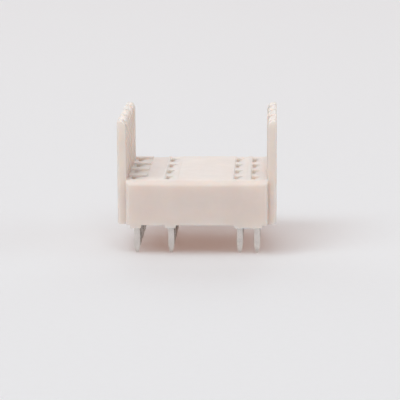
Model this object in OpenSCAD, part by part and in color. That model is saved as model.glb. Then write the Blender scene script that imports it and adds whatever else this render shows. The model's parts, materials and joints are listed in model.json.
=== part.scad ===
// Relay socket for a printed circuit board.
// One moulded housing holds a field of flat tuning-fork contacts. A plug-in relay stands between
// the two end walls, and its blades pass through the slots in the top into the forks.
// X runs along the width, +Y to the back and +Z up. The origin is the middle of the footprint,
// at the tips of the contact tails. All sizes are in millimetres.

/* [Contact grid] */
// Step of the circuit board grid that the columns follow
grid_step = 2.54; // [2.4:0.01:2.8]
// Distance between neighbouring rows, front to back
row_pitch = 5.08; // [4.6:0.01:6]
// Number of rows
row_count = 4; // [2:1:6]
// Distance from the left end wall to the first column's centre line
first_column_inset = 1.35; // [1.3:0.05:1.8]

/* [Block] */
// Width of the block between the end walls
block_w = 20.7; // [20.4:0.1:24]
// Distance from the outer rows' centre lines to the front and back faces
row_margin = 3.5; // [3:0.1:5]
// Height of the block without its standoff rails
block_h = 6.6; // [6.4:0.1:9]
// Radius along the top front and top back edges
block_top_r = 0.8; // [0.2:0.05:1]
// Radius of the upright front and back corners
block_side_r = 0.4; // [0.2:0.05:0.6]
// Radius along the bottom edges
block_bottom_r = 0.15; // [0.1:0.05:0.5]

/* [Standoff rails] */
// Height of the rails that keep the block off the circuit board
rail_h = 0.4; // [0.2:0.05:1]
// Width of the rail under one column
rail_w = 1.6; // [1.2:0.1:1.8]
// Radius of the rail's lower edges
rail_r = 0.1; // [0.05:0.05:0.3]

/* [End walls] */
// Thickness of an end wall
wall_t = 1.3; // [1.25:0.05:1.8]
// Rise of an end wall above the top of the block
wall_rise = 8.65; // [6:0.05:12]
// Distance of the wall ends from the block's front and back faces
wall_setback = 1.0; // [0.6:0.1:2]
// Radius of the wall's outer edges and corners
wall_r = 0.35; // [0.1:0.05:0.35]
// Radius of the lead-in along the wall's inner top edge
wall_lead_r = 0.9; // [0.3:0.05:0.9]
// Width of the guide rib at each row
rib_w = 2.5; // [1.5:0.1:3]
// Distance that a rib stands proud of the wall's inner face
rib_t = 0.12; // [0.08:0.02:0.3]
// Height of the crest that a rib adds to the wall's top edge
crest_h = 0.1; // [0.06:0.02:0.5]

/* [Blade entries] */
// Distance of a blade slot to the left of its contact's tail
entry_offset = 0.5; // [0.4:0.05:0.6]
// Width of a blade slot
slot_w = 0.5; // [0.4:0.05:0.6]
// Length of a blade slot, front to back
slot_l = 3; // [2.6:0.1:3.2]
// Width of the slanted lead-in on the right of a slot
lead_w = 1.2; // [0.8:0.05:1.25]
// Depth of the lead-in at the slot
lead_d = 0.4; // [0.3:0.05:0.6]
// Depth that a relay blade can reach below the top of the block
blade_reach = 4.6; // [4:0.1:4.7]

/* [Grooves in the top] */
// Depth of the shallow groove over a column
groove_d = 0.12; // [0.1:0.02:0.2]
// Distance of a groove's left side from the column's centre line
groove_left = 0.9; // [0.85:0.05:1]
// Distance of a groove's right side from the column's centre line
groove_right = 1.05; // [0.95:0.05:1.2]
// Distance of a groove's front end from the front face
groove_setback = 1.65; // [1.2:0.05:1.8]
// Depth of the wide channel beside the left end wall
channel_d = 0.22; // [0.14:0.02:0.28]
// Distance of the channel's front end from the front face
channel_setback = 3.3; // [2:0.1:3.5]
// Width of the ridge between the channel and the second column's groove
ridge_w = 0.3; // [0.2:0.05:0.5]
// Length of a tooth that keeps two entries of the first column apart
tooth_l = 1.9; // [1.4:0.1:2]
// Distance that the teeth run in from the left end wall
tooth_reach = 2.8; // [2.2:0.05:3.2]

/* [Contacts] */
// Thickness of the contact strip
contact_t = 0.4; // [0.3:0.05:0.5]
// Width of the fork
fork_w = 1.5; // [1.4:0.05:1.6]
// Distance that the barbed shoulders stand out on each side to hold the contact
barb_w = 0.2; // [0.1:0.02:0.22]
// Height of the shoulders
shoulder_h = 1.1; // [0.8:0.05:1.5]
// Depth of the shoulders' underside above the bottom of the block
shoulder_depth = 0.25; // [0.1:0.05:0.5]
// Gap between the tines where they are free
tine_gap = 0.6; // [0.5:0.05:0.7]
// Gap between the tines where they grip a blade
pinch_gap = 0.34; // [0.2:0.02:0.44]
// Gap at the flared tips of the tines
flare_gap = 0.9; // [0.7:0.05:1]
// Distance of the pinch below the tips
pinch_depth = 0.7; // [0.5:0.05:0.9]
// Length of the solid web between the shoulders and the gap
web_h = 0.5; // [0.3:0.05:0.8]
// Length of the tails below the standoff rails
tail_len = 4.35; // [3:0.05:5]
// Width of a tail at its widest place
tail_w = 0.9; // [0.8:0.02:1]
// Width of a tail where it leaves the housing
tail_neck_w = 0.76; // [0.6:0.02:0.8]
// Length of the pointed end of a tail
tail_point = 1.6; // [0.8:0.05:2]
// Width of the tail's blunt tip
tip_w = 0.34; // [0.1:0.02:0.4]

/* [Cavities] */
// Clearance between a contact's flat faces and its cavity
cavity_clear = 0.04; // [0.02:0.01:0.08]
// Clearance beside and above the tines
tine_clear = 0.08; // [0.05:0.01:0.1]
// Thickness of plastic above the tines' cavity
roof_t = 1.2; // [0.9:0.05:1.5]

/* [Cored underside] */
// Number of core slots under the plain middle of the block
core_count = 3; // [1:1:3]
// Width of a core slot
core_w = 1.3; // [0.8:0.1:1.5]
// Plastic between neighbouring core slots
core_web = 1.0; // [0.8:0.1:1.2]
// Plastic above a core slot
core_roof = 1.6; // [1.2:0.1:2]
// Plastic at the ends of a core slot
core_end = 2.0; // [1.5:0.1:3]

/* [Hidden] */
$fn = 48;
// Small overrun that carries a cut clear of the face it opens
over = 0.1;
// Each column's place in grid steps from the first one
COLUMN_STEPS = [0, 2, 6, 7];
column_count = len(COLUMN_STEPS);

block_d = (row_count - 1) * row_pitch + 2 * row_margin;
wall_d = block_d - 2 * wall_setback;
rail_bottom_z = tail_len;
block_bottom_z = rail_bottom_z + rail_h;
block_top_z = block_bottom_z + block_h;
wall_h = block_h + wall_rise;
cavity_roof_z = block_top_z - roof_t;
shoulder_z = block_bottom_z + shoulder_depth;
ledge_z = shoulder_z + shoulder_h;
gap_root_z = ledge_z + web_h + tine_gap / 2;
fork_top_z = cavity_roof_z - tine_clear;
pinch_z = fork_top_z - pinch_depth;
// Sides of the shoulders, from the contact's own centre line
shoulder_left = -entry_offset - fork_w / 2 - barb_w;
shoulder_right = tail_neck_w / 2 + barb_w;

function row_y(row) = (row - (row_count + 1) / 2) * row_pitch;
function column_x(column) =
    -block_w / 2 + first_column_inset + COLUMN_STEPS[column - 1] * grid_step;
function steps_between(column) = COLUMN_STEPS[column] - COLUMN_STEPS[column - 1];
function contact_name(row, column) = str("contact_row", row, "_column", column);

// ---- Plain shapes ----

// Rectangle from the origin to [w, h] with its own radius at each corner:
// bottom left, bottom right, top right, top left
module cornered_rect(w, h, radii) {
    places = [[0, 0], [w, 0], [w, h], [0, h]];
    inward = [[1, 1], [-1, 1], [-1, -1], [1, -1]];
    difference() {
        square([w, h]);
        for (i = [0:len(places) - 1])
            if (radii[i] > 0)
                translate(places[i])
                    difference() {
                        square(2 * radii[i], center = true);
                        translate(inward[i] * radii[i])
                            circle(radii[i]);
                    }
    }
}

// Extrudes a profile drawn in front view, X and Z, over y0 to y1
module along_y(y0, y1) {
    translate([0, y1, 0])
        rotate([90, 0, 0])
            linear_extrude(y1 - y0)
                children();
}

// Extrudes a profile drawn in side view, Y and Z, over x0 to x1
module along_x(x0, x1) {
    translate([x0, 0, 0])
        rotate([90, 0, 90])
            linear_extrude(x1 - x0)
                children();
}

// Does the same thing at every contact's centre line
module at_contacts() {
    for (row = [1:row_count])
        for (column = [1:column_count])
            translate([column_x(column), row_y(row), 0])
                children();
}

// ---- Housing ----

// Block with rounded edges, still solid
module block() {
    intersection() {
        along_x(-block_w / 2, block_w / 2)
            translate([-block_d / 2, block_bottom_z])
                cornered_rect(block_d, block_h,
                    [block_bottom_r, block_bottom_r, block_top_r, block_top_r]);
        along_y(-block_d / 2, block_d / 2)
            translate([-block_w / 2, block_bottom_z])
                cornered_rect(block_w, block_h, [block_bottom_r, block_bottom_r, 0, 0]);
        translate([-block_w / 2, -block_d / 2, block_bottom_z])
            linear_extrude(block_h)
                cornered_rect(block_w, block_d,
                    [block_side_r, block_side_r, block_side_r, block_side_r]);
    }
}

// Rail under the columns from one number to another
module rail(from, to) {
    left = column_x(from) - rail_w / 2;
    right = column_x(to) + rail_w / 2;
    along_y(-block_d / 2, block_d / 2)
        translate([left, rail_bottom_z])
            cornered_rect(right - left, rail_h + block_bottom_r, [rail_r, rail_r, 0, 0]);
}

module rails() {
    for (column = [1:column_count]) {
        joins_next = column < column_count && steps_between(column) == 1;
        rail(column, joins_next ? column + 1 : column);
    }
}

// Right-hand end wall: a rounded plate with a guide rib at each row
module end_wall() {
    intersection() {
        union() {
            along_y(-wall_d / 2, wall_d / 2)
                translate([block_w / 2, block_bottom_z])
                    cornered_rect(wall_t, wall_h, [0, wall_r, wall_r, wall_lead_r]);
            for (row = [1:row_count])
                guide_rib(row);
        }
        translate([block_w / 2 - rib_t, -wall_d / 2, block_bottom_z])
            linear_extrude(wall_h + crest_h)
                cornered_rect(wall_t + rib_t, wall_d, [0, wall_r, wall_r, 0]);
    }
}

// Rib on the wall's inner face, which ends in a low crest on the wall's top
module guide_rib(row) {
    foot_z = block_top_z - channel_d - over;
    along_y(row_y(row) - rib_w / 2, row_y(row) + rib_w / 2)
        translate([block_w / 2 - rib_t, foot_z])
            cornered_rect(wall_t + rib_t, block_bottom_z + wall_h + crest_h - foot_z,
                [0, 0, wall_r, wall_lead_r]);
}

// Shallow grooves that lead the blades to the slots, open at the back
module grooves() {
    y0 = -block_d / 2 + groove_setback;
    for (column = [2:column_count])
        translate([column_x(column) - groove_left, y0, block_top_z - groove_d])
            cube([groove_left + groove_right, block_d / 2 - y0 + over, groove_d + over]);
}

// Wide channel beside the left end wall. It takes in the first column's entries, and teeth run in
// from the wall between them.
module channel() {
    left = -block_w / 2 - over;
    right = column_x(2) - groove_left - ridge_w;
    front = -block_d / 2 + channel_setback;
    back = block_d / 2 + over;
    tooth_end = -block_w / 2 + tooth_reach;
    pocket_l = row_pitch - tooth_l;
    translate([0, 0, block_top_z - channel_d])
        linear_extrude(channel_d + over)
            difference() {
                union() {
                    translate([left, front])
                        square([right - left, back - front]);
                    translate([left, row_y(1) - pocket_l / 2])
                        square([tooth_end - left, pocket_l]);
                }
                for (row = [1:row_count])
                    translate([left - over, row_y(row) + pocket_l / 2])
                        square([
                            tooth_end - left + over,
                            row < row_count ? tooth_l : row_margin
                        ]);
            }
}

// Blade slot and blade room round the blade's centre line, with a slanted lead-in on its right
module blade_entry() {
    bottom = block_top_z - blade_reach;
    translate([-slot_w / 2, -slot_l / 2, bottom])
        cube([slot_w, slot_l, blade_reach + over]);
    along_y(-slot_l / 2, slot_l / 2)
        polygon([
            [0, block_top_z - lead_d],
            [slot_w / 2, block_top_z - lead_d],
            [slot_w / 2 + lead_w, block_top_z],
            [slot_w / 2 + lead_w, block_top_z + over],
            [0, block_top_z + over]
        ]);
}

// Cavity that takes one contact from below: wide for the shoulders, narrower above the ledge
module contact_cavity() {
    depth_y = contact_t + 2 * cavity_clear;
    tine_room_w = fork_w + 2 * tine_clear;
    translate([shoulder_left, -depth_y / 2, rail_bottom_z - over])
        cube([shoulder_right - shoulder_left, depth_y, ledge_z - rail_bottom_z + over]);
    translate([-entry_offset - tine_room_w / 2, -depth_y / 2, ledge_z - over])
        cube([tine_room_w, depth_y, cavity_roof_z - ledge_z + over]);
}

// Core slots that keep the wall thickness even under the plain middle
module cores() {
    left = column_x(2) + shoulder_right;
    right = column_x(3) + shoulder_left;
    total_w = core_count * core_w + (core_count - 1) * core_web;
    for (i = [0:core_count - 1])
        translate([
            (left + right - total_w) / 2 + i * (core_w + core_web),
            -block_d / 2 + core_end,
            block_bottom_z - over
        ])
            cube([core_w, block_d - 2 * core_end, block_h - core_roof + over]);
}

module housing() {
    color("antiquewhite")
        difference() {
            union() {
                difference() {
                    block();
                    grooves();
                    channel();
                }
                rails();
                end_wall();
                mirror([1, 0, 0])
                    end_wall();
            }
            at_contacts() {
                translate([-entry_offset, 0, 0])
                    blade_entry();
                contact_cavity();
            }
            cores();
        }
}

// ---- Contacts ----

// Radius of the arcs that close the pointed end: they start upright at the tail's full width and
// reach the blunt tip's corners over the length of the point
function point_radius() =
    let (inset = (tail_w - tip_w) / 2)
    (inset * inset + tail_point * tail_point) / (2 * inset);

// Tail in front view: a shank that widens downwards, then two arcs that close on the tip
module tail_profile() {
    arc_r = point_radius();
    polygon([
        [-tail_neck_w / 2, shoulder_z + over],
        [-tail_neck_w / 2, rail_bottom_z],
        [-tail_w / 2, tail_point],
        [tail_w / 2, tail_point],
        [tail_neck_w / 2, rail_bottom_z],
        [tail_neck_w / 2, shoulder_z + over]
    ]);
    intersection() {
        translate([-tail_w / 2, 0])
            square([tail_w, tail_point]);
        translate([arc_r - tail_w / 2, tail_point])
            circle(arc_r);
        translate([tail_w / 2 - arc_r, tail_point])
            circle(arc_r);
    }
}

// Shoulders with a slanted start on their lower corners
module shoulder_profile() {
    polygon([
        [shoulder_left, ledge_z],
        [shoulder_left, shoulder_z + barb_w],
        [shoulder_left + barb_w, shoulder_z],
        [shoulder_right - barb_w, shoulder_z],
        [shoulder_right, shoulder_z + barb_w],
        [shoulder_right, ledge_z]
    ]);
}

// Gap between the tines: round at its root, narrow at the pinch, flared at the tips
module gap_profile() {
    translate([0, gap_root_z])
        circle(tine_gap / 2);
    polygon([
        [-tine_gap / 2, gap_root_z],
        [-pinch_gap / 2, pinch_z],
        [-flare_gap / 2, fork_top_z],
        [-flare_gap / 2, fork_top_z + over],
        [flare_gap / 2, fork_top_z + over],
        [flare_gap / 2, fork_top_z],
        [pinch_gap / 2, pinch_z],
        [tine_gap / 2, gap_root_z]
    ]);
}

// Whole contact in front view: the fork stands to the left of the tail, in line with its blade
module contact_profile() {
    tail_profile();
    shoulder_profile();
    translate([-entry_offset, 0])
        difference() {
            translate([-fork_w / 2, ledge_z - over])
                square([fork_w, fork_top_z - ledge_z + over]);
            gap_profile();
        }
}

// One stamped contact, standing in its cavity
module contact(row, column) {
    color("silver")
        translate([column_x(column), row_y(row), 0])
            along_y(-contact_t / 2, contact_t / 2)
                contact_profile();
}

housing();
for (row = [1:row_count])
    for (column = [1:column_count])
        contact(row, column);
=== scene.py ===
"""Looks of the relay socket: materials, a pale floor, soft studio light and the camera.

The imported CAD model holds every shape. This script dresses it and lights it. Lengths are in metres.
"""
import json
import math

import bpy
from mathutils import Matrix, Vector

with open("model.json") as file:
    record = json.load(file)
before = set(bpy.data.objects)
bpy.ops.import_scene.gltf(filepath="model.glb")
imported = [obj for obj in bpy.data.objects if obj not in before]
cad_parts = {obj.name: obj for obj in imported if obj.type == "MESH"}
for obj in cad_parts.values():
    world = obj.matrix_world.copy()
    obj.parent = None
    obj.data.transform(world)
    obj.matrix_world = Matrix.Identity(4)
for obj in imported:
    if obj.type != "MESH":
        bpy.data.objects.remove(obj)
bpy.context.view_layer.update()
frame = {"nodes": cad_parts, "record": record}

MM = 0.001

# Camera: the optical axis passes this point, seen from this direction and distance
AXIS_POINT = Vector((0.3, -6.15, 7.6)) * MM
AZIMUTH = math.radians(-2.18)
ELEVATION = math.radians(11.0)
ROLL = math.radians(0.27)
DISTANCE = 290 * MM
LENS = 176.0
SENSOR = 36.0
CLIP_NEAR = 0.01
CLIP_FAR = 20.0

# Colours, linear
IVORY = (0.77, 0.68, 0.63)
TIN = (0.82, 0.77, 0.73)
FLOOR = (0.80, 0.78, 0.79)
BACKDROP = (0.80, 0.78, 0.79)
# Where the floor is seen, this share of its look carries no shadow. It is warm and the rest is
# cooler, so that open floor stays neutral and only deep shadow turns warm.
FLOOR_LIFT = 0.25
FLOOR_GLOW = (1.0, 0.52, 0.36)
FLOOR_SEEN = (0.745, 0.92, 1.0)

# Plastic: how far light spreads inside it, and how much of each colour
GLOW_DEPTH = 3.0 * MM
GLOW_COLOURS = (1.0, 0.75, 0.6)
# Roundness that the shading gives to sharp edges, and the height of the finest grain
PLASTIC_EDGE = 0.12 * MM
TIN_EDGE = 0.06 * MM
GRAIN_HEIGHT = 0.01 * MM
# Painted shade on the tin: its colour is darkened where nearby pieces close it in; how far it looks
# for them and how dark it gets
TIN_SHADE_REACH = 7.0 * MM
TIN_PAINTED_SHADE = 0.22
EDGE_SAMPLES = 6
SHADE_REACH_SAMPLES = 8

FLOOR_SIZE = 8.0
WORLD_TINT = (1.0, 0.985, 0.98)
WORLD_STRENGTH = 0.28
# Soft boxes: name, azimuth (0 behind the camera, 90 on its left), elevation, size, power
SOFT_BOXES = (
    ("key", 20, 52, (3.4, 1.1), 38.0),
    ("side", 55, 62, (1.2, 1.2), 9.0),
    ("fill", -80, 32, (2.0, 1.6), 9.0),
    ("back", 175, 30, (2.4, 1.2), 14.0),
)
SOFT_BOX_DISTANCE = 2.5
SOFT_BOX_AIM = Vector((0, 0, 8 * MM))


# ---- Node helpers ----

def put(tree, socket, value):
    """Gives a socket its value, or joins another node's output to it."""
    if isinstance(value, bpy.types.NodeSocket):
        tree.links.new(value, socket)
    elif isinstance(value, tuple) and len(value) == 3 and socket.type == "RGBA":
        socket.default_value = (*value, 1.0)
    else:
        socket.default_value = value


class Nodes:
    """A material's node tree, with short calls that make and join nodes."""

    def __init__(self, name):
        self.material = bpy.data.materials.new(name)
        self.material.use_nodes = True
        self.tree = self.material.node_tree
        self.tree.nodes.clear()
        self.output = self.tree.nodes.new("ShaderNodeOutputMaterial")

    def add(self, kind, settings=None, **inputs):
        """Makes a node; an input is a value, or another node's output socket."""
        node = self.tree.nodes.new("ShaderNode" + kind)
        for key, value in (settings or {}).items():
            setattr(node, key, value)
        for key, value in inputs.items():
            wanted = key.replace("_", " ").lower()
            socket = next(s for s in node.inputs if s.name.lower() == wanted and s.enabled)
            put(self.tree, socket, value)
        return node

    def place(self, scale=(1, 1, 1)):
        """The object's own position, stretched by scale."""
        coordinates = self.add("TexCoord")
        mapping = self.add("Mapping", Vector=coordinates.outputs["Object"], Scale=scale)
        return mapping.outputs["Vector"]

    def noise(self, vector, scale, detail):
        node = self.add("TexNoise", Vector=vector, Scale=scale, Detail=detail, Roughness=0.5)
        return node.outputs["Fac"]

    def spread(self, value, low, high, to_low=0.0, to_high=1.0):
        """Maps low..high to to_low..to_high and clamps."""
        node = self.add(
            "MapRange", Value=value, From_Min=low, From_Max=high, To_Min=to_low, To_Max=to_high
        )
        return node.outputs["Result"]

    def times(self, a, b):
        node = self.add("Math", {"operation": "MULTIPLY"})
        put(self.tree, node.inputs[0], a)
        put(self.tree, node.inputs[1], b)
        return node.outputs["Value"]

    def mix(self, factor, a, b):
        """Blends two colours; the sockets at 6 and 7 are the node's colour pair."""
        node = self.add("Mix", {"data_type": "RGBA"})
        put(self.tree, node.inputs["Factor"], factor)
        put(self.tree, node.inputs[6], a)
        put(self.tree, node.inputs[7], b)
        return node.outputs[2]

    def bump(self, height, strength, edge_radius):
        """Fine relief over softened edges."""
        edges = self.add("Bevel", {"samples": EDGE_SAMPLES}, Radius=edge_radius)
        node = self.add(
            "Bump",
            Strength=strength,
            Distance=GRAIN_HEIGHT,
            Height=height,
            Normal=edges.outputs["Normal"],
        )
        return node.outputs["Normal"]

    def finish(self, shader):
        self.tree.links.new(shader, self.output.inputs["Surface"])
        return self.material


def shade(colour, factor):
    return tuple(min(1.0, c * factor) for c in colour)


def seen_ray(tree):
    """1 where the camera, a mirror or a clear body looks, 0 for light on its way."""
    path = tree.nodes.new("ShaderNodeLightPath")
    seen = path.outputs["Is Camera Ray"]
    for ray in ("Is Glossy Ray", "Is Transmission Ray"):
        either = tree.nodes.new("ShaderNodeMath")
        either.operation = "MAXIMUM"
        tree.links.new(seen, either.inputs[0])
        tree.links.new(path.outputs[ray], either.inputs[1])
        seen = either.outputs[0]
    return seen


# ---- Materials ----

def ivory_plastic():
    """Moulded glass-filled polyester: faint flow mottling, pale fibres and a fine grain."""
    n = Nodes("ivory_plastic")
    here = n.place()
    mottle = n.noise(here, 260.0, 3.0)
    flow = n.noise(n.place((0.35, 1.0, 1.6)), 700.0, 2.0)
    fibres = n.noise(n.place((1.0, 0.25, 1.0)), 9000.0, 1.0)
    grain = n.noise(here, 14000.0, 2.0)
    sheen = n.noise(here, 1800.0, 2.0)

    tint = n.mix(n.spread(mottle, 0.35, 0.65), shade(IVORY, 0.975), shade(IVORY, 1.02))
    tint = n.mix(n.times(n.spread(flow, 0.4, 0.7), 0.35), tint, shade(IVORY, 0.96))
    tint = n.mix(n.times(n.spread(fibres, 0.62, 0.75), 0.25), tint, shade(IVORY, 1.12))
    skin = n.add(
        "BsdfPrincipled",
        Base_Color=tint,
        Roughness=n.spread(sheen, 0.3, 0.7, 0.42, 0.54),
        IOR=1.5,
        Normal=n.bump(grain, 0.25, PLASTIC_EDGE),
        Subsurface_Weight=1.0,
        Subsurface_Scale=GLOW_DEPTH,
        Subsurface_Radius=GLOW_COLOURS,
    )
    return n.finish(skin.outputs["BSDF"])


def tinned_bronze():
    """Tin over stamped bronze: brushed along the strip, cloudy, with painted shade where it is closed
    in.
    """
    n = Nodes("tinned_bronze")
    clouds = n.noise(n.place(), 1500.0, 3.0)
    brushing = n.noise(n.place((8.0, 8.0, 0.6)), 2600.0, 2.0)
    painted_shade_ao = n.add("AmbientOcclusion", {"samples": SHADE_REACH_SAMPLES}, Distance=TIN_SHADE_REACH)

    tint = n.mix(n.spread(clouds, 0.35, 0.7), shade(TIN, 0.93), shade(TIN, 1.05))
    # Painted shade: the tin's colour darkens where ambient occlusion finds it closed in
    tint = n.mix(
        n.spread(painted_shade_ao.outputs["AO"], 0.3, 0.44), shade(TIN, TIN_PAINTED_SHADE), tint
    )
    metal = n.add(
        "BsdfPrincipled",
        Base_Color=tint,
        Metallic=1.0,
        Roughness=n.spread(clouds, 0.3, 0.7, 0.16, 0.26),
        Normal=n.bump(brushing, 0.3, TIN_EDGE),
    )
    return n.finish(metal.outputs["BSDF"])


def floor_paper():
    """Pale paper that keeps the object's shadow, lifted a little wherever it is seen."""
    n = Nodes("floor_paper")
    seen = seen_ray(n.tree)
    tooth = n.spread(n.noise(n.place(), 900.0, 3.0), 0.3, 0.7)
    plain = n.mix(seen, FLOOR, FLOOR_SEEN)
    toothed = n.mix(seen, shade(FLOOR, 0.99), shade(FLOOR_SEEN, 0.99))
    paper = n.add("BsdfPrincipled", Base_Color=n.mix(tooth, plain, toothed), Roughness=0.75)
    glow = n.add("Emission", Color=FLOOR_GLOW, Strength=1.0)
    both = n.add("MixShader", Fac=n.times(seen, FLOOR_LIFT))
    n.tree.links.new(paper.outputs["BSDF"], both.inputs[1])
    n.tree.links.new(glow.outputs["Emission"], both.inputs[2])
    return n.finish(both.outputs["Shader"])


def dress():
    """Gives every CAD node its material by the record's slots."""
    materials = {"housing_plastic": ivory_plastic(), "tinned_bronze": tinned_bronze()}
    slots = {part["node"]: part["material_slot"] for part in frame["record"]["subparts"]}
    for name, piece in frame["nodes"].items():
        piece.data.materials.clear()
        piece.data.materials.append(materials[slots[name]])


# ---- Stage ----

def make_floor():
    bpy.ops.mesh.primitive_plane_add(size=FLOOR_SIZE, location=(0, 0, 0))
    floor = bpy.context.object
    floor.name = "floor"
    floor.data.materials.append(floor_paper())


def make_world():
    """Soft light from all round, with a pale backdrop for camera and mirror rays."""
    world = bpy.data.worlds.new("studio")
    bpy.context.scene.world = world
    world.use_nodes = True
    tree = world.node_tree
    tree.nodes.clear()
    mix = tree.nodes.new("ShaderNodeMixShader")
    tree.links.new(seen_ray(tree), mix.inputs[0])
    for socket, colour, strength in (
        (mix.inputs[1], WORLD_TINT, WORLD_STRENGTH),
        (mix.inputs[2], BACKDROP, 1.0),
    ):
        light = tree.nodes.new("ShaderNodeBackground")
        light.inputs["Color"].default_value = (*colour, 1.0)
        light.inputs["Strength"].default_value = strength
        tree.links.new(light.outputs[0], socket)
    out = tree.nodes.new("ShaderNodeOutputWorld")
    tree.links.new(mix.outputs[0], out.inputs["Surface"])


def soft_box(name, azimuth, elevation, size, power):
    """Area light that faces the object."""
    data = bpy.data.lights.new(name, "AREA")
    data.shape = "RECTANGLE"
    data.size, data.size_y = size
    data.energy = power
    lamp = bpy.data.objects.new(name, data)
    bpy.context.collection.objects.link(lamp)
    a, e = math.radians(azimuth), math.radians(elevation)
    away = Vector((-math.sin(a) * math.cos(e), -math.cos(a) * math.cos(e), math.sin(e)))
    lamp.location = SOFT_BOX_AIM + away * SOFT_BOX_DISTANCE
    lamp.rotation_euler = away.to_track_quat("Z", "Y").to_euler()


def make_camera():
    data = bpy.data.cameras.new("camera")
    data.lens = LENS
    data.sensor_width = SENSOR
    data.clip_start = CLIP_NEAR
    data.clip_end = CLIP_FAR
    camera = bpy.data.objects.new("camera", data)
    bpy.context.collection.objects.link(camera)
    forward = Vector((
        math.sin(AZIMUTH) * math.cos(ELEVATION),
        math.cos(AZIMUTH) * math.cos(ELEVATION),
        -math.sin(ELEVATION),
    ))
    level_right = Vector((math.cos(AZIMUTH), -math.sin(AZIMUTH), 0))
    level_down = forward.cross(level_right)
    right = level_right * math.cos(ROLL) + level_down * math.sin(ROLL)
    down = level_down * math.cos(ROLL) - level_right * math.sin(ROLL)
    turn = Matrix((right, -down, -forward)).transposed()
    camera.matrix_world = Matrix.Translation(AXIS_POINT - forward * DISTANCE) @ turn.to_4x4()
    bpy.context.scene.camera = camera


dress()
make_floor()
make_world()
for box in SOFT_BOXES:
    soft_box(*box)
make_camera()
bpy.context.scene.view_settings.view_transform = "Standard"
